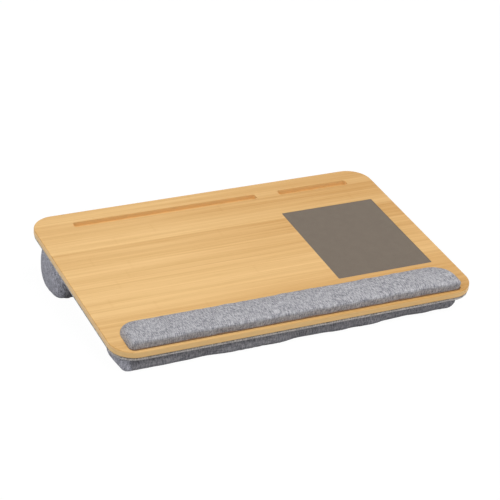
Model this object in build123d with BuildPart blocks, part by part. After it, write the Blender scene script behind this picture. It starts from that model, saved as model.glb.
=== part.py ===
"""Lap desk: a tilted bamboo board on two fabric bolsters, with a wrist rest, a mouse pad, a pen groove and a phone
slot.

The floor is z = 0, X runs along the desk's length and +Y to its rear. Most pieces lie on the board's tilted
plane. A place on the board is given by its distance from the left edge, its distance from the front edge (depth)
and its height over the top face, all in millimetres.
"""
import os
from math import cos, pi, radians, sin, sqrt

from build123d import *

# Stance
tilt_degrees = 9.0
front_lift = 32.3  # floor to the top face's front edge

# Bamboo board
board_width = 523.0
board_depth = 350.0
board_thickness = 9.0
board_corner_radius = 34.0
board_top_round = 1.4
board_bottom_round = 1.0

# Pen groove and phone slot, in one line near the rear edge
channel_rear_margin = 26.7  # board's rear edge to the channels' rear walls
channel_width = 12.4
channel_cut_depth = 6.5
channel_end_radius = 3.0
channel_edge_round = 0.7
pen_groove_left = 57.0
pen_groove_length = 278.0
phone_slot_left = 371.5
phone_slot_length = 110.5

# Mouse pad in its pocket
pad_left = 350.6
pad_front = 79.3
pad_length = 182.0
pad_width = 144.0
pad_thickness = 1.1
pad_tape_thickness = 0.2
pad_tape_inset = 2.0
pad_sink = 0.2  # top face of the pad under the board's
pad_clearance = 0.2
pad_corner_radius = 1.5

# Wrist rest in its recess
rest_left = 20.5
rest_front = 5.0
rest_length = 480.0
rest_depth = 61.6
rest_front_radius = 8.0
rest_rear_radius = 28.0
rest_crown = 13.0  # top of the crown over the board
rest_crest_share = 0.44
rest_end_slope = 12.0  # length over which the crown rises from each end
rest_height_shares = (0.0, 0.35, 0.65, 0.87, 0.97, 0.995)  # of the outlines up the crown
rest_recess_depth = 3.0
rest_clearance = 0.4
rest_cover_thickness = 0.9
rest_base_thickness = 2.0
rest_hem_width = 10.0
rest_tape_width = 14.0
rest_tape_count = 2

least_radius = 0.5  # of a corner that an inset draws in

# Cushion panel, wrapped in cloth
panel_gap = 1.4  # air between the board and the turned hem
panel_thickness = 2.0
cloth_thickness = 0.8
cloth_inset = 1.0  # board's edge to the wrapped edge
cloth_edge_radius = 1.4
cloth_hem_width = 18.0
panel_tape_width = 25.0
panel_tape_inset = 34.0
panel_tape_count = 5

# Staples in the turned hem
staple_crown = 10.0
staple_wire = 0.4
staple_leg = 2.2
staple_row_inset = 8.0
staple_spacing = 38.0

# Bolsters
cover_thickness = 1.2
fill_clearance = 0.5
floor_sink = 0.5  # how far the loose form would reach into the floor that presses it flat
seam_inset = 10.0  # end of a bolster to the seam of its end panel
fall_shares = (0.0, 0.2, 0.45, 0.65, 0.8, 0.9, 0.97, 1.0)  # of the outlines from the cloth to the floor

front_bolster_front = 6.3
front_bolster_depth = 73.7
front_bolster_side_margin = 13.5
front_bolster_bulge = 1.2
front_bolster_waist = 1.5
front_bolster_front_radius = 7.0
front_bolster_rear_radius = 16.0
front_bolster_end_radius = 4.0
front_bolster_front_corner_radius = 32.0
front_bolster_rear_corner_radius = 14.0
front_bolster_floor_corner_radius = 16.0

rear_bolster_front = 240.0
rear_bolster_depth = 81.5
rear_bolster_side_margin = 9.5
rear_bolster_bulge = 1.5
rear_bolster_waist = 2.5
rear_bolster_front_radius = 14.0
rear_bolster_rear_radius = 22.0
rear_bolster_end_radius = 5.5
rear_bolster_front_corner_radius = 24.0
rear_bolster_rear_corner_radius = 9.0
rear_bolster_floor_corner_radius = 16.0

# The board's tilted plane. The whole desk is centred front to back on Y = 0.
slope = radians(tilt_degrees)
front_reach = board_top_round * (cos(slope) + sin(slope) - 1)
rear_reach = (
    (board_depth - board_bottom_round) * cos(slope)
    + (board_thickness - board_bottom_round) * sin(slope)
    + board_bottom_round
)
board_front_y = -(front_reach + rear_reach) / 2
board_left_x = -board_width / 2
top_plane = Plane(
    origin=(board_left_x, board_front_y, front_lift), x_dir=(1, 0, 0), z_dir=(0, -sin(slope), cos(slope))
)
board_normal = Axis(top_plane.origin, top_plane.z_dir)


def on_board(depth, height):
    """World Y and Z of a point at a depth from the front edge and a height over the top face."""
    return (
        board_front_y + depth * cos(slope) - height * sin(slope),
        front_lift + depth * sin(slope) + height * cos(slope),
    )


def rounded_plan(left, front, length, depth, front_radius, rear_radius):
    """A rectangle on the board, with one radius at its front corners and one at its rear corners."""
    with BuildSketch() as plan:
        with Locations((left + length / 2, front + depth / 2)):
            Rectangle(length, depth)
        fillet(plan.vertices().group_by(Axis.Y)[0], front_radius)
        fillet(plan.vertices().group_by(Axis.Y)[-1], rear_radius)
    return plan.sketch


def save(part, name):
    """Labels a finished piece and writes it."""
    part.label = name
    export_step(part, f"parts/{name}.step")


os.makedirs("parts", exist_ok=True)

# Bamboo board, with its groove, slot, pocket and recess
channel_front = board_depth - channel_rear_margin - channel_width
pocket_depth = pad_thickness + pad_tape_thickness + pad_sink
board_plan = rounded_plan(0, 0, board_width, board_depth, board_corner_radius, board_corner_radius)
pen_plan = rounded_plan(
    pen_groove_left, channel_front, pen_groove_length, channel_width, channel_end_radius, channel_end_radius
)
phone_plan = rounded_plan(
    phone_slot_left, channel_front, phone_slot_length, channel_width, channel_end_radius, channel_end_radius
)
pocket_plan = rounded_plan(
    pad_left - pad_clearance,
    pad_front - pad_clearance,
    pad_width + 2 * pad_clearance,
    pad_length + 2 * pad_clearance,
    pad_corner_radius + pad_clearance,
    pad_corner_radius + pad_clearance,
)
recess_plan = rounded_plan(
    rest_left - rest_clearance,
    rest_front - rest_clearance,
    rest_length + 2 * rest_clearance,
    rest_depth + 2 * rest_clearance,
    rest_front_radius + rest_clearance,
    rest_rear_radius + rest_clearance,
)
with BuildPart() as top_board:
    with BuildSketch(top_plane):
        add(board_plan)
    extrude(amount=-board_thickness)
    fillet(top_board.faces().sort_by(board_normal)[-1].edges(), board_top_round)
    fillet(top_board.faces().sort_by(board_normal)[0].edges(), board_bottom_round)
    with BuildSketch(top_plane):
        add(pen_plan)
        add(phone_plan)
    extrude(amount=-channel_cut_depth, mode=Mode.SUBTRACT)
    mouths = top_board.faces().sort_by(board_normal)[-1].inner_wires()
    fillet([edge for mouth in mouths for edge in mouth.edges()], channel_edge_round)
    with BuildSketch(top_plane):
        add(pocket_plan)
    extrude(amount=-pocket_depth, mode=Mode.SUBTRACT)
    with BuildSketch(top_plane):
        add(recess_plan)
    extrude(amount=-rest_recess_depth, mode=Mode.SUBTRACT)
save(top_board.part, "top_board")

# Mouse pad, and the adhesive sheet under it
pad_plan = rounded_plan(pad_left, pad_front, pad_width, pad_length, pad_corner_radius, pad_corner_radius)
with BuildPart() as mouse_pad:
    with BuildSketch(top_plane.offset(-pad_sink)):
        add(pad_plan)
    extrude(amount=-pad_thickness)
save(mouse_pad.part, "mouse_pad")

with BuildPart() as mouse_pad_tape:
    with BuildSketch(top_plane.offset(-pad_sink - pad_thickness)):
        with Locations((pad_left + pad_width / 2, pad_front + pad_length / 2)):
            Rectangle(pad_width - 2 * pad_tape_inset, pad_length - 2 * pad_tape_inset)
    extrude(amount=-pad_tape_thickness)
save(mouse_pad_tape.part, "mouse_pad_tape")

# Wrist rest: a base board in the recess, foam on it, and a cover that wraps both and turns in under the board
rest_base_height = rest_cover_thickness - rest_recess_depth
rest_seat = rest_base_height + rest_base_thickness


def rest_plan(inset):
    """The wrist rest's outline, drawn in by an inset."""
    return rounded_plan(
        rest_left + inset,
        rest_front + inset,
        rest_length - 2 * inset,
        rest_depth - 2 * inset,
        max(rest_front_radius - inset, least_radius),
        max(rest_rear_radius - inset, least_radius),
    )


def rest_form(inset):
    """The padded crown: a loft up from the seat, through outlines that draw in along a quarter ellipse."""
    rise = rest_crown - inset - rest_seat
    length = rest_length - 2 * inset
    depth = rest_depth - 2 * inset
    with BuildPart() as form:
        for height_share in rest_height_shares:
            kept_share = sqrt(1 - height_share**2)
            end_draw = (1 - kept_share) * rest_end_slope
            front_draw = (1 - kept_share) * depth * rest_crest_share
            outline = rounded_plan(
                rest_left + inset + end_draw,
                rest_front + inset + front_draw,
                length - 2 * end_draw,
                depth * kept_share,
                max(rest_front_radius - inset, least_radius) * kept_share,
                max(rest_rear_radius - inset, least_radius) * kept_share,
            )
            with BuildSketch(top_plane.offset(rest_seat + rise * height_share)):
                add(outline)
        loft()
    return form.part


rest_outline = rest_plan(0)
rest_core_outline = rest_plan(rest_cover_thickness)
rest_hem_outline = rest_plan(rest_hem_width)
rest_outside = rest_form(0)
rest_inside = rest_form(rest_cover_thickness)
rest_core = rest_form(rest_cover_thickness + fill_clearance)
with BuildPart() as wrist_rest_cover:
    add(rest_outside)
    with BuildSketch(top_plane.offset(-rest_recess_depth)):
        add(rest_outline)
    extrude(amount=rest_seat + rest_recess_depth)
    add(rest_inside, mode=Mode.SUBTRACT)
    with BuildSketch(top_plane.offset(rest_base_height)):
        add(rest_core_outline)
    extrude(amount=rest_base_thickness, mode=Mode.SUBTRACT)
    with BuildSketch(top_plane.offset(-rest_recess_depth)):
        add(rest_hem_outline)
    extrude(amount=rest_cover_thickness, mode=Mode.SUBTRACT)
save(wrist_rest_cover.part, "wrist_rest_cover")

with BuildPart() as wrist_rest_foam:
    add(rest_core)
save(wrist_rest_foam.part, "wrist_rest_foam")

with BuildPart() as wrist_rest_base:
    with BuildSketch(top_plane.offset(rest_base_height)):
        add(rest_core_outline)
    extrude(amount=rest_base_thickness)
save(wrist_rest_base.part, "wrist_rest_base")

rest_tape_room = rest_depth - 2 * rest_hem_width
with BuildPart() as wrist_rest_tape:
    with BuildSketch(top_plane.offset(-rest_recess_depth)):
        with Locations((rest_left + rest_length / 2, rest_front + rest_depth / 2)):
            with GridLocations(0, rest_tape_room / rest_tape_count, 1, rest_tape_count):
                Rectangle(rest_length - 2 * rest_rear_radius, rest_tape_width)
    extrude(amount=rest_cover_thickness)
save(wrist_rest_tape.part, "wrist_rest_tape")

# Cushion panel under the board, wrapped in cloth whose hem is turned in over its upper face
panel_tape_thickness = cloth_thickness + panel_gap
hem_top = -board_thickness - panel_gap
panel_top = hem_top - cloth_thickness
panel_bottom = panel_top - panel_thickness
cloth_bottom = panel_bottom - cloth_thickness


def panel_plan(inset):
    """The board's outline, drawn in by an inset."""
    radius = max(board_corner_radius - inset, least_radius)
    return rounded_plan(inset, inset, board_width - 2 * inset, board_depth - 2 * inset, radius, radius)


cloth_outline = panel_plan(cloth_inset)
panel_outline = panel_plan(cloth_inset + cloth_thickness)
hem_outline = panel_plan(cloth_inset + cloth_hem_width)

# Staples stand on the hem, and their legs go through it into the panel
staple_places = []
row_inset = cloth_inset + staple_row_inset
for run, other, turn in ((board_width, board_depth, 0), (board_depth, board_width, 90)):
    count = int((run - 2 * board_corner_radius) // staple_spacing) + 1
    for number in range(count):
        along = run / 2 + (number - (count - 1) / 2) * staple_spacing
        for across in (row_inset, other - row_inset):
            place = (along, across) if turn == 0 else (across, along)
            staple_places.append(Location((*place, 0), turn))
with BuildPart() as cloth_staples:
    with BuildSketch(top_plane.offset(hem_top)):
        with Locations(*staple_places):
            Rectangle(staple_crown, staple_wire)
    extrude(amount=staple_wire)
    with BuildSketch(top_plane.offset(hem_top)):
        with Locations(*staple_places):
            with GridLocations(staple_crown - staple_wire, 0, 2, 1):
                Rectangle(staple_wire, staple_wire)
    extrude(amount=-staple_leg)
save(cloth_staples.part, "cloth_staples")

with BuildPart() as base_cloth:
    with BuildSketch(top_plane.offset(hem_top)):
        add(cloth_outline)
    extrude(amount=cloth_bottom - hem_top)
    fillet(base_cloth.faces().sort_by(board_normal)[-1].edges(), cloth_edge_radius)
    fillet(base_cloth.faces().sort_by(board_normal)[0].edges(), cloth_edge_radius)
    with BuildSketch(top_plane.offset(panel_top)):
        add(panel_outline)
    extrude(amount=-panel_thickness, mode=Mode.SUBTRACT)
    with BuildSketch(top_plane.offset(hem_top)):
        add(hem_outline)
    extrude(amount=-cloth_thickness, mode=Mode.SUBTRACT)
    add(cloth_staples.part, mode=Mode.SUBTRACT)
save(base_cloth.part, "base_cloth")

with BuildPart() as cushion_panel:
    with BuildSketch(top_plane.offset(panel_top)):
        add(panel_outline)
    extrude(amount=-panel_thickness)
    add(cloth_staples.part, mode=Mode.SUBTRACT)
save(cushion_panel.part, "cushion_panel")

tape_room = board_width - 2 * panel_tape_inset - panel_tape_width
with BuildPart() as panel_tape:
    with BuildSketch(top_plane.offset(-board_thickness)):
        with Locations((board_width / 2, board_depth / 2)):
            with GridLocations(tape_room / (panel_tape_count - 1), 0, panel_tape_count, 1):
                Rectangle(panel_tape_width, board_depth - 2 * panel_tape_inset)
    extrude(amount=-panel_tape_thickness)
save(panel_tape.part, "panel_tape")


# The cloth's plane and the floor meet in front of the desk, and a bolster's outlines lie fanned between them
fan_y, fan_z = on_board(0, cloth_bottom)
fan_reach = (fan_z + floor_sink) / sin(slope)
fan_origin = Vector(board_left_x, fan_y - fan_reach * cos(slope), -floor_sink)


def foot_draw(height, radius):
    """How far a side rounds in at a height over the floor."""
    below = max(radius - height, 0)
    return radius - sqrt(radius**2 - below**2)


def bolster_form(
    front,
    depth,
    side_margin,
    bulge,
    waist,
    front_radius,
    rear_radius,
    end_radius,
    front_corner_radius,
    rear_corner_radius,
    floor_corner_radius,
    inset,
):
    """A bolster: a loft from the cloth to the floor, through outlines that swell and then round in to the base. Each
    corner's radius changes evenly from its value at the cloth to the one at the floor."""
    with BuildPart() as form:
        for fall_share in fall_shares:
            angle = slope * (1 - fall_share)
            spread = 1 / cos(slope - angle)
            near = fan_reach + front + inset
            far = fan_reach + front + depth - inset
            base_rise = inset * fall_share
            swell = bulge * sin(pi * fall_share) - waist * (1 - fall_share) ** 2
            near = (near - swell + foot_draw(near * sin(angle), front_radius - inset)) * spread
            far = (far + swell - foot_draw(far * sin(angle), rear_radius - inset)) * spread
            end_draw = side_margin + inset - swell + foot_draw(near * sin(angle), end_radius - inset)
            outline = rounded_plan(
                end_draw,
                near,
                board_width - 2 * end_draw,
                far - near,
                front_corner_radius + (floor_corner_radius - front_corner_radius) * fall_share - inset,
                rear_corner_radius + (floor_corner_radius - rear_corner_radius) * fall_share - inset,
            )
            plane = Plane(
                origin=fan_origin + Vector(0, 0, base_rise), x_dir=(1, 0, 0), z_dir=(0, -sin(angle), cos(angle))
            )
            with BuildSketch(plane):
                add(outline)
        loft()
    return form.part


# Two bolsters: each has a cover, a sewn panel at each end and a filling
bolsters = {
    "front": (
        front_bolster_front,
        front_bolster_depth,
        front_bolster_side_margin,
        front_bolster_bulge,
        front_bolster_waist,
        front_bolster_front_radius,
        front_bolster_rear_radius,
        front_bolster_end_radius,
        front_bolster_front_corner_radius,
        front_bolster_rear_corner_radius,
        front_bolster_floor_corner_radius,
    ),
    "rear": (
        rear_bolster_front,
        rear_bolster_depth,
        rear_bolster_side_margin,
        rear_bolster_bulge,
        rear_bolster_waist,
        rear_bolster_front_radius,
        rear_bolster_rear_radius,
        rear_bolster_end_radius,
        rear_bolster_front_corner_radius,
        rear_bolster_rear_corner_radius,
        rear_bolster_floor_corner_radius,
    ),
}
seams = {
    "front": board_width / 2 - front_bolster_side_margin - seam_inset,
    "rear": board_width / 2 - rear_bolster_side_margin - seam_inset,
}
for name, sizes in bolsters.items():
    outside = bolster_form(*sizes, 0)
    inside = bolster_form(*sizes, cover_thickness)
    filling = bolster_form(*sizes, cover_thickness + fill_clearance)
    seam = seams[name]
    with BuildPart() as shell:
        add(outside)
        add(inside, mode=Mode.SUBTRACT)
        split(bisect_by=Plane.XY, keep=Keep.TOP)

    with BuildPart() as bolster_cover:
        add(shell.part)
        split(bisect_by=Plane.YZ.offset(-seam), keep=Keep.TOP)
        split(bisect_by=Plane.YZ.offset(seam), keep=Keep.BOTTOM)
    save(bolster_cover.part, f"{name}_bolster_cover")

    with BuildPart() as end_panel_left:
        add(shell.part)
        split(bisect_by=Plane.YZ.offset(-seam), keep=Keep.BOTTOM)
    save(end_panel_left.part, f"{name}_end_panel_left")

    with BuildPart() as end_panel_right:
        add(shell.part)
        split(bisect_by=Plane.YZ.offset(seam), keep=Keep.TOP)
    save(end_panel_right.part, f"{name}_end_panel_right")

    with BuildPart() as bolster_fill:
        add(filling)
    save(bolster_fill.part, f"{name}_bolster_fill")
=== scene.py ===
"""Lap desk, dressed: a bamboo board on two stuffed fabric bolsters, with a padded wrist rest and a mouse pad."""
import math

import bpy
import numpy as np
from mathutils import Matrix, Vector


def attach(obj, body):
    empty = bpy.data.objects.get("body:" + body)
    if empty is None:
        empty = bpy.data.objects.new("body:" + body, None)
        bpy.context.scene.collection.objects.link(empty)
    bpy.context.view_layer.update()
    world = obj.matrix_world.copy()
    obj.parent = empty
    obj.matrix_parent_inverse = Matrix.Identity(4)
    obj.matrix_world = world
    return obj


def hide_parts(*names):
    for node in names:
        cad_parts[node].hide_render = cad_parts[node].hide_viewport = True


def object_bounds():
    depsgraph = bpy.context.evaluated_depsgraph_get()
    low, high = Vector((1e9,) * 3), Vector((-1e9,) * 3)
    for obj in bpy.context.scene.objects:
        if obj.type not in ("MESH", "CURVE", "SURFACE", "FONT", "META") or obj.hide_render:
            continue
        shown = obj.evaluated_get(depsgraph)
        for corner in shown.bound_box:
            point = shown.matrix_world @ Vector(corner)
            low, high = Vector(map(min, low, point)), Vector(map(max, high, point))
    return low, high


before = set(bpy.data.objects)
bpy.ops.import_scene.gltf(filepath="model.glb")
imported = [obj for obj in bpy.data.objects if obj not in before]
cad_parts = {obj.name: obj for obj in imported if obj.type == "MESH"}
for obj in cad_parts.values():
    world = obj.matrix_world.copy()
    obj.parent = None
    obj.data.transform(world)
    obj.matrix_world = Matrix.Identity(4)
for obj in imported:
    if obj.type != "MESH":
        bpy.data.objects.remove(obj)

cad_low, cad_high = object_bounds()
scene = bpy.context.scene

# The photograph's setting: a white floor, a long lens from the front left, soft light from in front and above, and
# a low reflector at the right front. To the camera the floor is mostly plain white, so it shows white and still
# takes a faint shadow from the desk.
camera_spot = (-0.98068, -2.09517, 1.04841)
camera_turn = (66.958, -0.656, -24.807)  # degrees
camera_lens = 132.06
# Each sun's place, its spread in degrees and its level
suns = {
    "key": ((0.35, -1.1, 2.2), 32, 1.94),
    "fill": ((-1.9, -0.1, 1.0), 60, 1.05),
}
sun_aim = (0.0, 0.0, 0.0)
reflector_spot = (0.75, -0.85, 0.28)
reflector_aim = (0.12, -0.16, 0.02)
reflector_width = 0.5
reflector_power = 1.35
world_level = 0.31
white = (1, 1, 1, 1)
floor_grey = (0.5, 0.5, 0.5, 1)
floor_glow = 1.05
floor_white_share = 0.93
floor_reach = 6.0


def add_node(tree, kind, links=None, **settings):
    """Adds a shader node. Each link is a socket to join or a plain value to set, by the input's name or number."""
    made = tree.nodes.new(kind)
    for name, value in settings.items():
        setattr(made, name, value)
    for key, value in (links or {}).items():
        if isinstance(value, bpy.types.NodeSocket):
            tree.links.new(value, made.inputs[key])
        else:
            made.inputs[key].default_value = value
    return made


def math_node(tree, operation, *values, clamp=False):
    """One arithmetic step between sockets and numbers."""
    return add_node(
        tree, "ShaderNodeMath", dict(enumerate(values)), operation=operation, use_clamp=clamp
    ).outputs[0]


def seen_directly(tree):
    """1 for the rays that show a surface itself: the camera's, and those through glass or off a mirror."""
    rays = add_node(tree, "ShaderNodeLightPath").outputs
    seen = math_node(tree, "MAXIMUM", rays["Is Camera Ray"], rays["Is Transmission Ray"])
    return math_node(tree, "MAXIMUM", seen, rays["Is Glossy Ray"])


def new_material(name):
    """A material with an empty node tree and its output."""
    material = bpy.data.materials.new(name)
    material.use_nodes = True
    material.node_tree.nodes.clear()
    return material, material.node_tree, material.node_tree.nodes.new("ShaderNodeOutputMaterial")


def add_lamp(name, kind, spot, aim, level):
    """A lamp at a spot, turned to shine at its aim."""
    lamp = bpy.data.objects.new(name, bpy.data.lights.new(name, kind))
    lamp.data.energy = level
    lamp.location = spot
    lamp.rotation_euler = (Vector(spot) - Vector(aim)).to_track_quat("Z", "Y").to_euler()
    scene.collection.objects.link(lamp)
    return lamp


camera = bpy.data.objects.new("camera", bpy.data.cameras.new("camera"))
camera.location = camera_spot
camera.rotation_euler = [math.radians(turn) for turn in camera_turn]
camera.data.lens = camera_lens
scene.collection.objects.link(camera)
scene.camera = camera
scene.view_settings.view_transform = "Standard"

for name, (spot, spread, level) in suns.items():
    sun = add_lamp(f"{name}_lamp", "SUN", spot, sun_aim, level)
    sun.data.angle = math.radians(spread)
reflector = add_lamp("reflector", "AREA", reflector_spot, reflector_aim, reflector_power)
reflector.data.size = reflector_width
reflector.visible_camera = False

world = bpy.data.worlds.new("studio")
world.use_nodes = True
world_tree = world.node_tree
world_tree.nodes.clear()
soft_sky = add_node(world_tree, "ShaderNodeBackground", {"Color": white, "Strength": world_level})
white_sky = add_node(world_tree, "ShaderNodeBackground", {"Color": white, "Strength": 1.0})
sky = add_node(
    world_tree, "ShaderNodeMixShader",
    {0: seen_directly(world_tree), 1: soft_sky.outputs[0], 2: white_sky.outputs[0]},
)
add_node(world_tree, "ShaderNodeOutputWorld", {0: sky.outputs[0]})
scene.world = world

floor_mesh = bpy.data.meshes.new("floor")
floor_corners = [(x * floor_reach, y * floor_reach, 0.0) for x, y in ((-1, -1), (1, -1), (1, 1), (-1, 1))]
floor_mesh.from_pydata(floor_corners, [], [(0, 1, 2, 3)])
floor = bpy.data.objects.new("floor", floor_mesh)
scene.collection.objects.link(floor)
floor_paint, tree, output = new_material("floor_paint")
white_share = math_node(tree, "MULTIPLY", seen_directly(tree), floor_white_share)
matt = add_node(tree, "ShaderNodeBsdfDiffuse", {"Color": floor_grey})
glow = add_node(tree, "ShaderNodeEmission", {"Color": white, "Strength": floor_glow})
both = add_node(tree, "ShaderNodeMixShader", {0: white_share, 1: matt.outputs[0], 2: glow.outputs[0]})
tree.links.new(both.outputs[0], output.inputs[0])
floor_mesh.materials.append(floor_paint)

# The top board is one laminated panel of pressed bamboo strips, sanded, with its edges rounded over by a router.
# The groove, the slot, the pad's pocket and the rest's recess are milled in, and it's sealed with a satin lacquer.
board_tilt = math.radians(9.0)
board_front_height = 0.0323
board_width = 0.523
board_depth = 0.350
edge_set_back = 0.0002  # from the sharp front edge to the rounded one, where the solid begins
board_origin = np.array([cad_low.x, cad_low.y - edge_set_back, board_front_height])
board_up = (0.0, -math.sin(board_tilt), math.cos(board_tilt))
strip_width = 0.0205
stem_length = 0.31
# How much paler the walls are painted and how much darker the rounded edges are: painted light and painted shade
wall_painted_light = 0.60
round_painted_shade = 0.35
bamboo_light = (0.80, 0.52, 0.225, 1)
bamboo_dark = (0.53, 0.27, 0.07, 1)


def on_board(left, depth, height):
    """World places of points given by their distance from the board's left edge, their depth behind its front edge
    and their height over its top face: the board's axes are X, and Y and Z turned up by its tilt."""
    left, depth, height = np.broadcast_arrays(left, depth, height)
    across = board_origin[0] + left
    back = board_origin[1] + depth * math.cos(board_tilt) - height * math.sin(board_tilt)
    up = board_origin[2] + depth * math.sin(board_tilt) + height * math.cos(board_tilt)
    return np.stack([across, back, up], axis=-1)


def new_group(name, inputs, outputs):
    """A shader node group with named inputs, each with its value, and named outputs."""
    group = bpy.data.node_groups.new(name, "ShaderNodeTree")
    for label, kind, value in inputs:
        socket = group.interface.new_socket(label, in_out="INPUT", socket_type=kind)
        if value is not None:
            socket.default_value = value
    for label, kind in outputs:
        group.interface.new_socket(label, in_out="OUTPUT", socket_type=kind)
    return group, group.nodes.new("NodeGroupInput"), group.nodes.new("NodeGroupOutput")


def range_node(tree, value, low, high, to_low=0.0, to_high=1.0):
    """Stretches a value from one range to another, clamped."""
    return add_node(
        tree, "ShaderNodeMapRange",
        {"Value": value, "From Min": low, "From Max": high, "To Min": to_low, "To Max": to_high},
    ).outputs[0]


def noise_node(tree, vector, scale, detail=2.0, roughness=0.5):
    """Smooth noise from 0 to 1 at a place."""
    return add_node(
        tree, "ShaderNodeTexNoise",
        {"Vector": vector, "Scale": scale, "Detail": detail, "Roughness": roughness},
    ).outputs[0]


def mix_colour(tree, share, first, second, blend="MIX"):
    """Blends two colours by a share."""
    return add_node(
        tree, "ShaderNodeMix", {0: share, 6: first, 7: second}, data_type="RGBA", blend_type=blend
    ).outputs[2]


def bump_node(tree, height, distance, strength=0.5):
    """The normal of a surface raised by a height map of some depth in metres."""
    return add_node(
        tree, "ShaderNodeBump", {"Height": height, "Distance": distance, "Strength": strength}
    ).outputs[0]


bamboo_group, given, result = new_group(
    "bamboo_strips",
    [("Place", "NodeSocketVector", None), ("Light", "NodeSocketColor", bamboo_light),
     ("Dark", "NodeSocketColor", bamboo_dark), ("Painted edge light and shade", "NodeSocketFloat", 0.0)],
    [("Color", "NodeSocketColor"), ("Roughness", "NodeSocketFloat"), ("Height", "NodeSocketFloat")],
)
tree = bamboo_group
parts = add_node(tree, "ShaderNodeSeparateXYZ", {0: given.outputs["Place"]})
along, across, up = parts.outputs
strip_place = math_node(tree, "DIVIDE", across, strip_width)
strip_number = math_node(tree, "FLOOR", strip_place)
strip_tone = add_node(
    tree, "ShaderNodeTexWhiteNoise", {"W": strip_number}, noise_dimensions="1D"
).outputs["Value"]


def grain(along_scale, across_scale, strip_shift, detail, roughness=0.5):
    """Noise drawn out along the strips, and shifted along for each strip by its own tone."""
    run = math_node(tree, "MULTIPLY_ADD", strip_tone, strip_shift, math_node(tree, "MULTIPLY", along, along_scale))
    spot = add_node(
        tree, "ShaderNodeCombineXYZ",
        {0: run, 1: math_node(tree, "MULTIPLY", across, across_scale),
         2: math_node(tree, "MULTIPLY", up, across_scale)},
    ).outputs[0]
    return noise_node(tree, spot, 1.0, detail, roughness)


def from_half(value):
    """How far the fraction of a value is from one half."""
    return math_node(tree, "ABSOLUTE", math_node(tree, "SUBTRACT", math_node(tree, "FRACT", value), 0.5))


fibres = grain(7.0, 620.0, strip_shift=3.0, detail=3.0, roughness=0.6)
bands = grain(2.2, 130.0, strip_shift=5.0, detail=2.0)
pores = range_node(tree, grain(55.0, 1900.0, strip_shift=0.0, detail=1.0), 0.62, 0.74)
# A bamboo stem has a knuckle every 30 cm or so: a thin darker line across each strip, at its own place
knuckle_place = math_node(tree, "ADD", math_node(tree, "DIVIDE", along, stem_length),
                          math_node(tree, "MULTIPLY", strip_tone, 7.0))
knuckle = range_node(tree, from_half(knuckle_place), 0.0, 0.009, 1.0, 0.0)
joint = range_node(tree, from_half(strip_place), 0.485, 0.5)
# The panel drifts a little darker from its left to its right, and each mark adds its share of the dark
tone = range_node(tree, along, -0.12, 0.2, -0.20, 0.14)
for mark, share in (
    (range_node(tree, fibres, 0.3, 0.72), 0.34), (range_node(tree, bands, 0.3, 0.7), 0.34), (strip_tone, 0.30),
    (knuckle, 0.07), (joint, 0.20), (pores, 0.20),
):
    tone = math_node(tree, "ADD", tone, math_node(tree, "MULTIPLY", mark, share))
# Here the board's walls are painted lighter and its rounded edges darker: painted light and painted shade
tone = math_node(tree, "SUBTRACT", tone, given.outputs["Painted edge light and shade"], clamp=True)
colour = mix_colour(tree, tone, given.outputs["Light"], given.outputs["Dark"])
tree.links.new(colour, result.inputs["Color"])
tree.links.new(range_node(tree, fibres, 0.3, 0.7, 0.34, 0.5), result.inputs["Roughness"])
fibre_relief = math_node(tree, "MULTIPLY", fibres, 0.4)
joint_relief = math_node(tree, "MULTIPLY", joint, 0.8)
tree.links.new(math_node(tree, "SUBTRACT", fibre_relief, joint_relief), result.inputs["Height"])


def board_place(tree):
    """Object coordinates turned level with the board, so that its strips run along X."""
    coordinates = add_node(tree, "ShaderNodeTexCoord")
    return add_node(
        tree, "ShaderNodeMapping", {"Vector": coordinates.outputs["Object"], "Rotation": (-board_tilt, 0, 0)}
    ).outputs[0]


bamboo, tree, output = new_material("bamboo")
strips = add_node(tree, "ShaderNodeGroup", node_tree=bamboo_group)
tree.links.new(board_place(tree), strips.inputs["Place"])
# The walls are painted paler than the face, as painted light, and the rounded edge between the two is painted
# darker, as painted shade
facing = add_node(tree, "ShaderNodeNewGeometry").outputs["Normal"]
upward = add_node(
    tree, "ShaderNodeVectorMath", {0: facing, 1: board_up}, operation="DOT_PRODUCT"
).outputs["Value"]
painted_wall_light_and_edge_shade = range_node(tree, upward, 0.1, 0.55, wall_painted_light, -round_painted_shade)
painted_edge_shade_fade = range_node(tree, upward, 0.85, 0.99, 0.0, round_painted_shade)
tree.links.new(math_node(tree, "ADD", painted_wall_light_and_edge_shade, painted_edge_shade_fade), strips.inputs["Painted edge light and shade"])
surface = add_node(
    tree, "ShaderNodeBsdfPrincipled",
    {"Base Color": strips.outputs["Color"], "Roughness": strips.outputs["Roughness"],
     "Normal": bump_node(tree, strips.outputs["Height"], 0.00008),
     "Specular IOR Level": 0.22, "Coat Weight": 0.02, "Coat Roughness": 0.35},
)
tree.links.new(surface.outputs[0], output.inputs[0])


def dress_node(node, material):
    """Gives a CAD node's own mesh a material."""
    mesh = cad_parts[node].data
    mesh.materials.clear()
    mesh.materials.append(material)


dress_node("top_board", bamboo)

# The mouse pad is a sheet of leatherette, a coated fabric with a fine pressed grain, glued into its pocket.
# It lies a hair below the wood, with its cut edges hidden by the pocket's wall.
pad_colour = (0.185, 0.152, 0.120, 1)
pad_crease_shade_and_mottle = (0.150, 0.122, 0.096, 1)
grain_size = 0.0011

leatherette, tree, output = new_material("leatherette")
place = board_place(tree)
cells = add_node(
    tree, "ShaderNodeTexVoronoi", {"Vector": place, "Scale": 1 / grain_size}, feature="DISTANCE_TO_EDGE"
)
mottle = noise_node(tree, place, 90.0, detail=3.0)
creases = range_node(tree, cells.outputs["Distance"], 0.0, 0.12, 0.0, 1.0)
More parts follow.
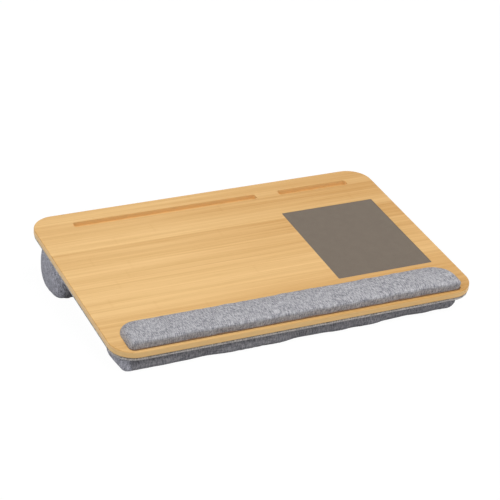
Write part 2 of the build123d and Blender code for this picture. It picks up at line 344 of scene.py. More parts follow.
# Towards the grain's creases the colour goes to the darker tone, as painted shade in the creases, along with a
# random mottle
colour = mix_colour(tree, math_node(tree, "MULTIPLY", creases, range_node(tree, mottle, 0.3, 0.7, 0.6, 1.0)),
                    pad_crease_shade_and_mottle, pad_colour)
surface = add_node(
    tree, "ShaderNodeBsdfPrincipled",
    {"Base Color": colour, "Roughness": 0.68, "Specular IOR Level": 0.2,
     "Normal": bump_node(tree, creases, 0.0001, 0.35)},
)
tree.links.new(surface.outputs[0], output.inputs[0])
dress_node("mouse_pad", leatherette)

# The wrist rest is a foam core on a thin board, wrapped in a heathered linen-look weave that is glued underneath.
# It is pushed into its recess, so its front is steep, its rear slopes, and its ends are rounded over.
rest_left = 0.0205
rest_front = 0.005
rest_length = 0.480
rest_depth = 0.0616
rest_crown = 0.0137
rest_least_rise = 0.0002
rest_seat = -0.0029
rest_crest_share = 0.33
rest_front_power = 8.0
rest_rear_power = 1.6
rest_front_corner = 0.008
rest_rear_corner = 0.028
rest_end_rise = 0.008
rest_end_power = 2.2
rest_overhang = 0.0007
rest_tuck = 0.0027
rest_tuck_height = 0.0100
rest_tuck_power = 1.2
rest_front_waves = ((0.0009, 52.0, 0.8), (0.0007, 97.0, 2.0))
rest_crown_waves = ((0.02, 31.0, 0.0), (0.015, 74.0, 1.0))
rest_calm_end = 0.03
rest_end_rows = 26
rest_middle_rows = 74
rest_crown_points = 18
rest_seat_points = 10
rest_held_below = 0.0006
rest_off_board = 0.0001
rest_reach = 0.0006
stuffed_sag = 0.0003
simulation_frames = 16
thread_pitch = 0.00092
fabric_dark = (0.150, 0.152, 0.175, 1)
fabric_light = (0.69, 0.68, 0.705, 1)

weave_group, given, result = new_group(
    "heathered_weave",
    [("Cloth place", "NodeSocketVector", None), ("Dark", "NodeSocketColor", fabric_dark),
     ("Light", "NodeSocketColor", fabric_light), ("Pitch", "NodeSocketFloat", thread_pitch)],
    [("Color", "NodeSocketColor"), ("Height", "NodeSocketFloat")],
)
tree = weave_group
parts = add_node(tree, "ShaderNodeSeparateXYZ", {0: given.outputs["Cloth place"]})
wander = noise_node(tree, given.outputs["Cloth place"], 160.0, detail=1.0)
pitch = given.outputs["Pitch"]
warp_place = math_node(tree, "MULTIPLY_ADD", wander, 1.2, math_node(tree, "DIVIDE", parts.outputs[0], pitch))
weft_place = math_node(tree, "MULTIPLY_ADD", wander, -1.2, math_node(tree, "DIVIDE", parts.outputs[1], pitch))


def thread_tone(number, run, offset):
    """The tone of a thread: noise that is new for each thread and changes slowly along it."""
    spot = add_node(
        tree, "ShaderNodeCombineXYZ",
        {0: math_node(tree, "MULTIPLY_ADD", number, 3.7, offset), 1: math_node(tree, "MULTIPLY", run, 150.0)},
    ).outputs[0]
    return noise_node(tree, spot, 1.0, detail=2.0, roughness=0.65)


def streaks(across_scale, along_scale, low, high):
    """Noise drawn out along one way of the cloth, cut off below a level."""
    spot = add_node(
        tree, "ShaderNodeCombineXYZ",
        {0: math_node(tree, "MULTIPLY", parts.outputs[0], across_scale),
         1: math_node(tree, "MULTIPLY", parts.outputs[1], along_scale)},
    ).outputs[0]
    return range_node(tree, noise_node(tree, spot, 1.0, detail=1.5), low, high)


warp_tone = thread_tone(math_node(tree, "FLOOR", warp_place), parts.outputs[1], 0.0)
weft_tone = thread_tone(math_node(tree, "FLOOR", weft_place), parts.outputs[0], 91.0)
warp_round = math_node(tree, "ABSOLUTE", math_node(tree, "SINE", math_node(tree, "MULTIPLY", warp_place, math.pi)))
weft_round = math_node(tree, "ABSOLUTE", math_node(tree, "SINE", math_node(tree, "MULTIPLY", weft_place, math.pi)))
crossing = math_node(tree, "ADD", math_node(tree, "FLOOR", warp_place), math_node(tree, "FLOOR", weft_place))
over = range_node(tree, math_node(tree, "PINGPONG", crossing, 1.0), 0.4, 0.6)
thread = add_node(
    tree, "ShaderNodeMix", {0: over, 2: warp_tone, 3: weft_tone}, data_type="FLOAT"
).outputs[0]
round_top = add_node(
    tree, "ShaderNodeMix", {0: over, 2: warp_round, 3: weft_round}, data_type="FLOAT"
).outputs[0]
slubs = streaks(900.0, 125.0, 0.42, 0.60)
flecks = streaks(120.0, 880.0, 0.50, 0.64)
cloud = noise_node(tree, given.outputs["Cloth place"], 42.0, detail=3.0)
tone = range_node(tree, thread, 0.34, 0.66, 0.0, 0.60)
tone = math_node(tree, "ADD", tone, math_node(tree, "MULTIPLY", slubs, 0.40))
tone = math_node(tree, "SUBTRACT", tone, math_node(tree, "MULTIPLY", flecks, 0.24))
tone = math_node(tree, "ADD", tone, range_node(tree, cloud, 0.3, 0.7, -0.05, 0.09))
# Down each thread's sides and in the gaps between threads the tone is painted darker: painted shade
tone = math_node(tree, "MULTIPLY", tone, range_node(tree, round_top, 0.0, 0.7, 0.62, 1.0), clamp=True)
tree.links.new(mix_colour(tree, tone, given.outputs["Dark"], given.outputs["Light"]), result.inputs["Color"])
tree.links.new(math_node(tree, "ADD", round_top, math_node(tree, "MULTIPLY", slubs, 0.5)), result.inputs["Height"])


def fabric_material(name, dark, light):
    """A heathered weave that follows the piece's UV map, which is in metres of cloth."""
    material, tree, output = new_material(name)
    cloth_place = add_node(tree, "ShaderNodeUVMap", uv_map="cloth")
    weave = add_node(tree, "ShaderNodeGroup", node_tree=weave_group)
    weave.inputs["Dark"].default_value = dark
    weave.inputs["Light"].default_value = light
    tree.links.new(cloth_place.outputs[0], weave.inputs["Cloth place"])
    surface = add_node(
        tree, "ShaderNodeBsdfPrincipled",
        {"Base Color": weave.outputs["Color"], "Roughness": 0.95,
         "Normal": bump_node(tree, weave.outputs["Height"], 0.0002, 0.45),
         "Sheen Weight": 0.03, "Sheen Roughness": 0.5, "Specular IOR Level": 0.12},
    )
    tree.links.new(surface.outputs[0], output.inputs[0])
    return material


def skin(name, grid, cloth_place, shut=False, first_pole=None, last_pole=None):
    """A surface over a grid of points, rows by columns. Where it is shut, its last column joins its first. A pole
    is a point, with its place on the cloth, that closes the surface past its first or last row. The UV map holds
    each point's place on the flat cloth in metres. Faces are turned to look away from the middle of all points."""
    rows, columns = grid.shape[:2]
    row, column = np.meshgrid(np.arange(rows - 1), np.arange(columns if shut else columns - 1), indexing="ij")
    steps = ((0, 0), (0, 1), (1, 1), (1, 0))
    points = [grid.reshape(-1, 3)]
    quads = np.stack([(row + down) * columns + (column + aside) % columns for down, aside in steps], axis=-1)
    quads = quads.reshape(-1, 4)
    quad_places = np.stack([cloth_place[row + down, column + aside] for down, aside in steps], axis=2)
    quad_places = quad_places.reshape(-1, 4, 2)
    column = column[0]
    fans = []
    fan_places = []
    for pole, row, turned in ((first_pole, 0, True), (last_pole, rows - 1, False)):
        if pole is None:
            continue
        number = rows * columns + len(fans)
        points.append(np.array(pole[0], dtype=float).reshape(1, 3))
        near, far = (column + 1, column) if turned else (column, column + 1)
        fans.append(np.stack([np.full(len(column), number), row * columns + near % columns,
                              row * columns + far % columns], axis=-1))
        middle = np.tile(np.array(pole[1], dtype=float), (len(column), 1))
        fan_places.append(np.stack([middle, cloth_place[row, near], cloth_place[row, far]], axis=1))
    points = np.concatenate(points)
    corners = points[quads]
    facing = np.cross(corners[:, 2] - corners[:, 0], corners[:, 3] - corners[:, 1])
    if np.sum(facing * (corners.mean(axis=1) - points.mean(axis=0))) < 0:
        quads, quad_places = quads[:, ::-1], quad_places[:, ::-1]
        fans = [fan[:, ::-1] for fan in fans]
        fan_places = [place[:, ::-1] for place in fan_places]
    mesh = bpy.data.meshes.new(name)
    mesh.from_pydata(points, [], quads.tolist() + [face for fan in fans for face in fan.tolist()])
    places = np.concatenate([quad_places.reshape(-1, 2), *[place.reshape(-1, 2) for place in fan_places]])
    mesh.uv_layers.new(name="cloth").data.foreach_set("uv", places.ravel())
    mesh.polygons.foreach_set("use_smooth", np.ones(len(mesh.polygons), dtype=bool))
    piece = bpy.data.objects.new(name, mesh)
    scene.collection.objects.link(piece)
    return piece


def cloth_lengths(grid, shut=False):
    """Each grid point's place on the flat cloth: the length down its column from the middle row, and the length
    along its row from the row's first point. A shut grid gets one more column, for its way round."""
    if shut:
        grid = np.concatenate([grid, grid[:, :1]], axis=1)
    down = np.linalg.norm(np.diff(grid, axis=0), axis=2).cumsum(axis=0)
    down = np.concatenate([np.zeros((1, grid.shape[1])), down])
    down = down - down[len(down) // 2]
    along = np.linalg.norm(np.diff(grid, axis=1), axis=2).cumsum(axis=1)
    along = np.concatenate([np.zeros((grid.shape[0], 1)), along], axis=1)
    return np.stack([down, along], axis=-1)


def tube(name, rings):
    """A closed skin over rings of points, shut at each end by a fan to the middle of its first or last ring."""
    places = cloth_lengths(rings, shut=True)
    return skin(
        name, rings, places, shut=True,
        first_pole=(rings[0].mean(axis=0), places[0].mean(axis=0)),
        last_pole=(rings[-1].mean(axis=0), places[-1].mean(axis=0)),
    )


def add_piece(piece, material, slot, *nodes, thickness=0.0):
    """Gives a piece its finish and its cloth's thickness, and lets it ride and stand for its CAD nodes."""
    piece.data.materials.append(material)
    if thickness:
        wall = piece.modifiers.new("cloth_thickness", "SOLIDIFY")
        wall.thickness = thickness
        wall.offset = -1
    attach(piece, "root")
    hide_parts(*nodes)


def inflate(rings, held, growth, pressure, reach, sag):
    """Stuffs a skin by cloth simulation: the cloth is cut larger than its form by the growth, blown out by the
    pressure and held at some of its points. No point moves further than the reach, or further inward than the sag,
    because the filling is there. Returns the new rings."""
    count, around = rings.shape[:2]
    form = tube("skin_form", rings)
    pins = form.vertex_groups.new(name="held")
    pins.add([int(number) for number in np.flatnonzero(held.ravel())], 1.0, "REPLACE")
    pins.add([count * around, count * around + 1], 1.0, "REPLACE")
    cloth = form.modifiers.new("cloth", "CLOTH")
    cloth.settings.quality = 6
    cloth.settings.mass = 0.3
    cloth.settings.tension_stiffness = 25
    cloth.settings.compression_stiffness = 25
    cloth.settings.shear_stiffness = 8
    cloth.settings.bending_stiffness = 0.6
    cloth.settings.shrink_min = -growth
    cloth.settings.use_pressure = True
    cloth.settings.uniform_pressure_force = pressure
    cloth.settings.vertex_group_mass = "held"
    cloth.settings.effector_weights.gravity = 0
    cloth.point_cache.frame_end = simulation_frames
    for number in range(1, simulation_frames + 1):
        scene.frame_set(number)
    facing = np.empty(len(form.data.vertices) * 3, dtype=np.float32)
    form.data.vertices.foreach_get("normal", facing)
    facing = facing.reshape(-1, 3)[:-2].reshape(rings.shape).astype(float)
    blown = form.evaluated_get(bpy.context.evaluated_depsgraph_get()).to_mesh()
    places = np.empty(len(blown.vertices) * 3, dtype=np.float32)
    blown.vertices.foreach_get("co", places)
    moved = places.reshape(-1, 3)[:-2].reshape(rings.shape).astype(float) - rings
    scene.frame_set(1)
    bpy.data.objects.remove(form)
    far = np.linalg.norm(moved, axis=2, keepdims=True)
    moved = moved * np.minimum(1.0, reach / np.maximum(far, 1e-9))
    sunk = np.clip(-np.sum(moved * facing, axis=2, keepdims=True) - sag, 0, None)
    return rings + moved + facing * sunk


def board_height(places):
    """Each place's height over the board's top face."""
    up, back = places[..., 2] - board_origin[2], places[..., 1] - board_origin[1]
    return up * math.cos(board_tilt) - back * math.sin(board_tilt)


def lift_over_board(places, heights):
    """Places moved square to the board by some heights."""
    return places + heights[..., None] * np.array(board_up)


def ripple(along, waves):
    """A sum of sines along a piece, each with its height, its radians per metre and its start."""
    return sum(height * np.sin(along * pace + start) for height, pace, start in waves)


def rest_rings(inset):
    """The wrist rest's rings from left to right. Round a ring go the seat, the front wall, the crown and the rear
    wall. The crown is a quarter superellipse up from the front, where it tucks in at its foot, to the crest and one
    down to the rear. Its height grows from each end along a quarter superellipse, and its width follows the
    recess's rounded corners. The front and the crown ripple a little along the piece."""
    turn = np.linspace(0, math.pi / 2, rest_end_rows)
    half = rest_rear_corner * (1 - np.cos(turn))
    length = rest_length - 2 * inset
    half = np.concatenate([half, np.linspace(rest_rear_corner, length / 2, rest_middle_rows)[1:]])
    along = np.concatenate([half, (length - half[:-1])[::-1]])[:, None]
    from_end = np.minimum(along, length - along)

    def corner(radius):
        """How far a rounded corner draws in at each ring."""
        run = np.clip(radius - inset - from_end, 0, None)
        return radius - inset - np.sqrt((radius - inset) ** 2 - run**2)

    wave = np.abs(ripple(along, rest_front_waves)) * np.clip(from_end / rest_calm_end, 0, 1)
    front = rest_front + inset + corner(rest_front_corner) - rest_overhang + wave
    rear = rest_front + rest_depth - inset - corner(rest_rear_corner)
    run = np.clip(1 - from_end / rest_end_rise, 0, None)
    rise = (rest_crown - inset) * np.sqrt(np.clip(1 - run**rest_end_power, 0, None)) + rest_least_rise
    rise = rise * (1 + ripple(along, rest_crown_waves))
    crest = front + (rear - front) * rest_crest_share
    turn = np.linspace(0, math.pi / 2, rest_crown_points)[None, :]
    front_power, rear_power = 2 / rest_front_power, 2 / rest_rear_power
    front_depth = crest - (crest - front) * np.cos(turn) ** front_power
    front_height = rise * np.sin(turn) ** front_power
    front_depth = front_depth + rest_tuck * np.clip(1 - front_height / rest_tuck_height, 0, 1) ** rest_tuck_power
    turn = turn[:, ::-1][:, 1:]
    rear_depth = crest + (rear - crest) * np.cos(turn) ** rear_power
    rear_height = rise * np.sin(turn) ** rear_power
    share = np.linspace(0, 1, rest_seat_points)[None, 1:-1]
    foot = front + rest_tuck
    seat_depth = rear + (foot - rear) * share
    seat_height = np.full_like(seat_depth, rest_seat + inset)
    wall = np.array([[rest_seat + inset, rest_seat / 2]])
    wall_height = np.repeat(wall, len(along), axis=0)
    wall_depth = np.repeat(foot, 2, axis=1)
    depth = np.concatenate([seat_depth, wall_depth, front_depth, rear_depth, np.repeat(rear, 2, axis=1)], axis=1)
    height = np.concatenate([seat_height, wall_height, front_height, rear_height, wall_height[:, ::-1]], axis=1)
    return on_board(rest_left + inset + along, depth, height)


rest_fabric = fabric_material("rest_fabric", fabric_dark, fabric_light)
rings = rest_rings(0.0)
in_recess = board_height(rings) < rest_held_below
blown = inflate(rings, in_recess, growth=0.006, pressure=3.0, reach=rest_reach, sag=stuffed_sag)
blown = lift_over_board(blown, np.where(in_recess, 0.0, np.clip(rest_off_board - board_height(blown), 0, None)))
wrist_rest = tube("wrist_rest_skin", blown)
add_piece(wrist_rest, rest_fabric, "rest_fabric", "wrist_rest_cover")

# Under the rest's cover lies its core, a strip of open-cell foam with its upper edges cut round.
# It is glued to the thin hardboard strip that the cover is wrapped round.
rest_foam_inset = 0.0012
foam_light = (0.82, 0.78, 0.68, 1)
foam_dark = (0.55, 0.50, 0.40, 1)

speckle_group, given, result = new_group(
    "speckle",
    [("Place", "NodeSocketVector", None), ("Scale", "NodeSocketFloat", 500.0),
     ("Light", "NodeSocketColor", foam_light), ("Dark", "NodeSocketColor", foam_dark)],
    [("Color", "NodeSocketColor"), ("Height", "NodeSocketFloat")],
)
tree = speckle_group
fine = noise_node(tree, given.outputs["Place"], given.outputs["Scale"], detail=3.0)
coarse = noise_node(tree, given.outputs["Place"], 30.0, detail=2.0)
tone = range_node(tree, fine, 0.35, 0.65, 0.0, 0.8)
tone = math_node(tree, "ADD", tone, range_node(tree, coarse, 0.3, 0.7, 0.0, 0.2))
tree.links.new(mix_colour(tree, tone, given.outputs["Light"], given.outputs["Dark"]), result.inputs["Color"])
tree.links.new(fine, result.inputs["Height"])


def speckled_material(name, light, dark, scale, roughness, bump, metallic=0.0, sheen=0.0):
    """A finish with fine speckles and a soft drift of tone, on Object coordinates."""
    material, tree, output = new_material(name)
    coordinates = add_node(tree, "ShaderNodeTexCoord")
    speckle = add_node(tree, "ShaderNodeGroup", node_tree=speckle_group)
    speckle.inputs["Scale"].default_value = scale
    speckle.inputs["Light"].default_value = light
    speckle.inputs["Dark"].default_value = dark
    tree.links.new(coordinates.outputs["Object"], speckle.inputs["Place"])
    surface = add_node(
        tree, "ShaderNodeBsdfPrincipled",
        {"Base Color": speckle.outputs["Color"], "Roughness": roughness, "Metallic": metallic,
         "Sheen Weight": sheen, "Normal": bump_node(tree, speckle.outputs["Height"], bump)},
    )
    tree.links.new(surface.outputs[0], output.inputs[0])
    return material


foam = speckled_material("foam", foam_light, foam_dark, scale=900.0, roughness=0.9, bump=0.0004)
foam_core = tube("wrist_rest_core", rest_rings(rest_foam_inset))
add_piece(foam_core, foam, "foam", "wrist_rest_foam")

# The rest's base and the cushion's panel are hardboard, brown pressed wood fibre that is sawn to size.
# Each of them has its cloth wrapped round it, so neither shows.
hardboard_light = (0.30, 0.17, 0.085, 1)
hardboard_dark = (0.16, 0.085, 0.04, 1)
hardboard = speckled_material(
    "hardboard", hardboard_light, hardboard_dark, scale=700.0, roughness=0.7, bump=0.0001
)
dress_node("wrist_rest_base", hardboard)
dress_node("cushion_panel", hardboard)

# Foam tape, white and sticky on both faces, is cut from a roll into strips.
# They hold the rest in its recess and the panel under the board.
tape_light = (0.86, 0.86, 0.84, 1)
tape_dark = (0.70, 0.70, 0.68, 1)
foam_tape = speckled_material("foam_tape", tape_light, tape_dark, scale=1200.0, roughness=0.85, bump=0.0002)
dress_node("wrist_rest_tape", foam_tape)
dress_node("panel_tape", foam_tape)

# The mouse pad's adhesive is a thin sheet of milky glue film.
# It covers the pad's back and sticks it to the floor of its pocket.
adhesive_light = (0.82, 0.80, 0.74, 1)
adhesive_dark = (0.68, 0.66, 0.58, 1)
adhesive = speckled_material("adhesive", adhesive_light, adhesive_dark, scale=250.0, roughness=0.4, bump=0.00005)
dress_node("mouse_pad_tape", adhesive)

# The staples are steel wire, zinc plated and bent square.
# They are shot through the sheet's turned hem into the upper face of the panel.
staple_light = (0.72, 0.73, 0.75, 1)
staple_dark = (0.52, 0.53, 0.55, 1)
staple_steel = speckled_material(
    "staple_steel", staple_light, staple_dark, scale=2500.0, roughness=0.32, bump=0.00002, metallic=1.0
)
dress_node("cloth_staples", staple_steel)

# Under the board hangs the hardboard panel, wrapped in one sheet of the same cloth. The sheet lies flat below,
# turns up round the panel's edge and is stapled down on its upper face, out of sight.
cloth_thickness = 0.0008
cloth_bottom = -0.0140
cloth_top = -0.0104
cloth_inset = 0.001
cloth_corner = 0.033
cloth_least_corner = 0.0005
cloth_edge_round = 0.0016
cloth_hem = 0.018
hem_runs = (0.006, 0.012)
underside_shares = (0.3, 0.6, 0.85)
corner_points = 11
straight_points = 26
edge_turn_points = 5
# The plan of the underside, 0.521 by 0.348 m, and 20.25 mm of cloth past it all round, up its edge and over the hem
# The bolsters' cloth is the rest's weave drawn darker, as painted shade under the board's overhang
cushion_shaded_dark = (0.100, 0.100, 0.118, 1)
cushion_shaded_light = (0.47, 0.46, 0.485, 1)
# The wrapped sheet's weave is drawn paler than the bolsters' cloth
sheet_dark = (0.20, 0.19, 0.19, 1)
sheet_light = (0.85, 0.82, 0.80, 1)


def panel_outline(inset, outward):
    """Points round the panel from its front left corner, a quarter circle at each corner and a straight run between
    two, drawn in by an inset and then moved out along the outline's normals. Gives left and depth."""
    turns = np.linspace(0, math.pi / 2, corner_points)
    radius = max(cloth_corner - inset, cloth_least_corner)
    near = cloth_inset + inset + radius
    middles = ((near, near, 1.0), (board_width - near, near, 1.5), (board_width - near, board_depth - near, 2.0),
               (near, board_depth - near, 2.5))
    runs = []
    for left, depth, start in middles:
        turn = turns + start * math.pi
        normals = np.stack([np.cos(turn), np.sin(turn)], axis=-1)
        runs.append(np.array([left, depth]) + normals * (radius + outward))
    filled = []
    for number, run in enumerate(runs):
        after = runs[(number + 1) % 4][0]
        share = np.linspace(0, 1, straight_points)[1:-1, None]
        filled += [run, run[-1] + (after - run[-1]) * share]
    return np.concatenate(filled)


def panel_cloth():
    """The wrapped sheet, row by row: from the middle of its underside out to the panel's edge, round the edge as
    two quarter circles, and in over the upper face to the end of the hem. Gives the points and their places on the
    flat cloth, which is the underside's plan with the length past its edge added along the outline's normals."""
    edge = panel_outline(cloth_edge_round, 0.0)
    middle = np.array([board_width / 2, board_depth / 2])
    rows = [(middle + (edge - middle) * share, cloth_bottom, middle + (edge - middle) * share)
            for share in underside_shares]
    arc = cloth_edge_round * math.pi / 2
    for turn in np.linspace(0, math.pi / 2, edge_turn_points):
        plan = panel_outline(cloth_edge_round, cloth_edge_round * math.sin(turn))
        height = cloth_bottom + cloth_edge_round * (1 - math.cos(turn))
        rows.append((plan, height, panel_outline(cloth_edge_round, arc * turn / (math.pi / 2))))
    past = arc + (cloth_top - cloth_bottom - 2 * cloth_edge_round)
    for turn in np.linspace(0, math.pi / 2, edge_turn_points):
        plan = panel_outline(cloth_edge_round, cloth_edge_round * math.cos(turn))
        height = cloth_top - cloth_edge_round * (1 - math.sin(turn))
        rows.append((plan, height, panel_outline(cloth_edge_round, past + arc * turn / (math.pi / 2))))
    for run in (*hem_runs, cloth_hem - cloth_edge_round):
        rows.append((panel_outline(cloth_edge_round + run, 0.0), cloth_top,
                     panel_outline(cloth_edge_round, past + arc + run)))
    points = np.stack([on_board(plan[:, 0], plan[:, 1], height) for plan, height, flat in rows])
    places = np.stack([flat for plan, height, flat in rows])
    return points, np.concatenate([places, places[:, :1]], axis=1)


cushion_fabric = fabric_material("cushion_fabric", cushion_shaded_dark, cushion_shaded_light)
sheet_fabric = fabric_material("sheet_fabric", sheet_dark, sheet_light)
points, places = panel_cloth()
middle = on_board(board_width / 2, board_depth / 2, cloth_bottom)
base_sheet = skin("base_sheet", points, places, shut=True, first_pole=(middle, (board_width / 2, board_depth / 2)))
add_piece(base_sheet, sheet_fabric, "cushion_fabric", "base_cloth", thickness=cloth_thickness)

# Two bolsters are sewn to that sheet: a fabric cover for each, shut by a sewn panel at both ends and filled with
# loose beads and fibre. They're soft, so they swell between their seams and lie flat where they stand.
# In the sizes, front is behind the board's front edge, margin is in from its ends, and feet and corners are radii.
bolster_sizes = {
    "front": dict(front=0.0062, depth=0.0738, margin=0.0137, bulge=0.0010, waist=0.0015, front_foot=0.0062,
                  rear_foot=0.016, end_foot=0.003, front_corner=0.034, rear_corner=0.014, floor_corner=0.009,
                  right_corner=0.031, right_slack=0.0068, dome=0.0010, phase=0.4),
    "rear": dict(front=0.240, depth=0.0815, margin=0.0092, bulge=0.0013, waist=0.0025, front_foot=0.012,
                 rear_foot=0.023, end_foot=0.0053, front_corner=0.024, rear_corner=0.0085, floor_corner=0.0165,
                 right_corner=0.0165, right_slack=0.0010, dome=0.0025, phase=2.1),
}
seam_inset = 0.010
seam_pull = 0.0006
pucker_pitch = 0.0065
pucker_fade = (1.0, 0.45, 0.15)
fill_inset = 0.0015
bolster_reach = 0.0014
bolster_waviness = 0.0021
bolster_calm_end = 0.05
bolster_held_above = 0.0004
# The bolsters' end panels are drawn lighter and a little bluer than their covers: the lighter tone is painted light
# on the ends
end_lit_dark = (0.145, 0.147, 0.17, 1)
end_lit_light = (0.67, 0.67, 0.76, 1)
stuffing_light = (0.90, 0.90, 0.87, 1)
stuffing_dark = (0.70, 0.70, 0.67, 1)
end_rows = 15
middle_rows = 56
profile_parts = (14, 11, 22, 11, 14)
top_points = 12
face_shares = (0.16, 0.34, 0.52, 0.7, 0.85, 0.95)


def bolster_rings(front, depth, margin, bulge, waist, front_foot, rear_foot, end_foot, front_corner, rear_corner,
                  floor_corner, right_corner, right_slack, dome, phase, inset):
    """A bolster's rings from left to right. A ring goes down the front side, along the base, up the rear side and
    back along the cloth. A side swells as half a sine and rounds in to the base as a quarter circle. Near an end
    the sides draw in and the base rises, each as a quarter circle, whose radius goes evenly from that at the cloth
    to that at the floor, and then the rings shrink to the middle of their top edge over the domed end face. Gives
    the rings, how many points a ring has off the cloth, and the seams' rows."""
    length = board_width - 2 * (margin + inset)
    widest = max(front_corner, rear_corner)
    rounded = np.union1d(widest * (1 - np.cos(np.linspace(0, math.pi / 2, end_rows))), [seam_inset])
    half = np.concatenate([rounded, np.linspace(widest, length / 2, middle_rows)[1:]])
    along = np.concatenate([half, (length - half[:-1])[::-1]])[:, None]
    from_end = np.minimum(along, length - along)
    seam_row = int(np.flatnonzero(half == seam_inset)[0])

    def drawn(radius):
        """How far a rounded edge draws in at each ring."""
        run = np.clip(radius - inset - from_end, 0, None)
        return radius - inset - np.sqrt((radius - inset) ** 2 - run**2)

    def toward_right(pace):
        """Grows evenly from 0 to 1 over the last of so many equal parts of the length, up to the right end."""
        return np.clip(along / length * pace - (pace - 1), 0, 1)

    low_corner = floor_corner + (right_corner - floor_corner) * toward_right(4)
    slack = right_slack * toward_right(1.5)
    wave = ripple(along, ((1.0, 41.0, phase), (0.6, 88.0, 3 * phase), (0.4, 147.0, phase)))
    wave = wave * np.clip(from_end / bolster_calm_end, 0, 1)
    base = inset + drawn(end_foot)

    def side(start, outward, corner, foot, walls, corners):
        """Y, Z and the swell down one side, from the cloth to the end of its foot."""
        top = on_board(0.0, start - outward * drawn(corner), cloth_bottom)
        top_back, top_up = top[..., 1], top[..., 2]
        share = np.linspace(0, 1, walls)[None, :]
        level = top_up + (base + foot - inset - top_up) * share
        turn = np.linspace(0, math.pi / 2, corners)[None, 1:]
        rounded_up = base + (foot - inset) * (1 - np.sin(turn))
        rounded_in = (foot - inset) * (1 - np.cos(turn))
        heights = np.concatenate([level, rounded_up], axis=1)
        inward = np.concatenate([np.zeros_like(level), rounded_in + np.zeros_like(rounded_up)], axis=1)
        fall = 1 - heights / top_up
        swell = bulge * np.sin(math.pi * fall) - waist * (1 - fall) ** 2
        rough = bolster_waviness * wave * np.sin(math.pi * np.clip(0.1 + 0.75 * fall, 0, 1))
        lean = top_up * math.tan(board_tilt)
        freed = drawn(corner) - drawn(corner + (low_corner - corner) * fall)
        return top_back + lean * fall + outward * (swell - inward + rough + freed - slack * fall), heights, swell

    front_back, front_up, front_swell = side(
        front + inset, -1, front_corner, front_foot, profile_parts[0], profile_parts[1])
    rear_back, rear_up, rear_swell = side(
        front + depth - inset, 1, rear_corner, rear_foot, profile_parts[4], profile_parts[3])
    share = np.linspace(0, 1, profile_parts[2])[None, 1:-1]
    base_back = front_back[:, -1:] + (rear_back[:, -1:] - front_back[:, -1:]) * share
    base_up = front_up[:, -1:] + (rear_up[:, -1:] - front_up[:, -1:]) * share
    share = np.linspace(0, 1, top_points)[None, 1:-1]
    top_back = rear_back[:, :1] + (front_back[:, :1] - rear_back[:, :1]) * share
    top_up = rear_up[:, :1] + (front_up[:, :1] - rear_up[:, :1]) * share
    back = np.concatenate([front_back, base_back, rear_back[:, ::-1], top_back], axis=1)
    up = np.concatenate([front_up, base_up, rear_up[:, ::-1], top_up], axis=1)
    swell = np.concatenate([front_swell, np.zeros_like(base_back), rear_swell[:, ::-1],
                            np.full_like(top_back, -waist)], axis=1)
    near_end = np.clip(1 - from_end / widest, 0, 1) ** 2
    outward = np.where(along < length / 2, -1.0, 1.0)
    across = board_origin[0] + margin + inset + along + outward * near_end * swell
    rings = np.stack([across + np.zeros_like(back), back, up], axis=-1)
    profile = front_back.shape[1] + base_back.shape[1] + rear_back.shape[1]
    shares = np.array(face_shares)[:, None, None]
    caps = []
    for ring, sign in ((rings[0], -1.0), (rings[-1], 1.0)):
        middle = (ring[0] + ring[profile - 1]) / 2
        face = middle + (ring - middle) * shares
        face[..., 0] += sign * dome * 4 * shares[..., 0] * (1 - shares[..., 0])
        caps.append(face)
    rings = np.concatenate([caps[0], rings, caps[1][::-1]])
    seam_row = seam_row + len(face_shares)
    return rings, profile, (seam_row, len(rings) - 1 - seam_row)


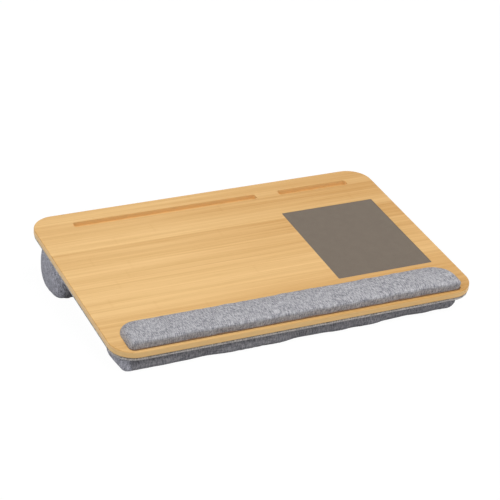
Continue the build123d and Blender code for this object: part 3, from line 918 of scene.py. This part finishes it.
def sewn_edge(grid, row, step):
    """Draws the cloth in at a seam's row, in small puckers, and eases that off over the next rows."""
    puckered = grid.copy()
    for distance, share in enumerate(pucker_fade):
        place = grid[row + step * distance]
        lengths = np.concatenate([[0.0], np.linalg.norm(np.diff(place, axis=0), axis=1).cumsum()])
        middle = (place[0] + place[-1]) / 2
        inward = (middle - place) / np.maximum(np.linalg.norm(middle - place, axis=1, keepdims=True), 1e-9)
        depth = seam_pull * share * (0.8 + 0.2 * np.sin(lengths * 2 * math.pi / pucker_pitch))
        inward[:, 2] = np.maximum(inward[:, 2], 0.0)
        puckered[row + step * distance] = place + inward * depth[:, None]
    return puckered


end_fabric = fabric_material("end_fabric", end_lit_dark, end_lit_light)
stuffing = speckled_material(
    "stuffing", stuffing_light, stuffing_dark, scale=400.0, roughness=0.95, bump=0.0008, sheen=0.3
)
for name, sizes in bolster_sizes.items():
    rings, profile, (left_seam, right_seam) = bolster_rings(**sizes, inset=0.0)
    held = board_height(rings) > cloth_bottom - bolster_held_above
    held[left_seam] = True
    held[right_seam] = True
    blown = inflate(rings, held, growth=0.007, pressure=2.5, reach=bolster_reach, sag=stuffed_sag)
    blown = lift_over_board(blown, -np.clip(board_height(blown) - cloth_bottom, 0, None))
    blown[..., 2] = np.clip(blown[..., 2], 0.0, None)
    sides = blown[:, :profile]
    shown = sewn_edge(sewn_edge(sides, left_seam, 1), right_seam, -1)[left_seam:right_seam + 1]
    cover = skin(f"{name}_bolster_skin", shown, cloth_lengths(shown))
    add_piece(cover, cushion_fabric, "cushion_fabric", f"{name}_bolster_cover", thickness=cloth_thickness)
    for side, shown, ring in (
        ("left", sewn_edge(sides, left_seam, -1)[:left_seam + 1], sides[len(face_shares)]),
        ("right", sewn_edge(sides, right_seam, 1)[right_seam:][::-1], sides[-1 - len(face_shares)]),
    ):
        pole = (ring[0] + ring[-1]) / 2
        spokes = (ring - pole)[:, 1:]
        spokes = spokes / np.linalg.norm(spokes, axis=1, keepdims=True)
        steps = np.concatenate([shown[:1] - pole, np.diff(shown, axis=0)])
        lengths = np.linalg.norm(steps, axis=2).cumsum(axis=0)
        cloth_place = lengths[..., None] * spokes
        end_panel = skin(f"{name}_end_skin_{side}", shown, cloth_place, first_pole=(pole, (0.0, 0.0)))
        add_piece(end_panel, end_fabric, "end_fabric", f"{name}_end_panel_{side}", thickness=cloth_thickness)
    filling = tube(f"{name}_bolster_stuffing", bolster_rings(**sizes, inset=fill_inset)[0])
    add_piece(filling, stuffing, "stuffing", f"{name}_bolster_fill")
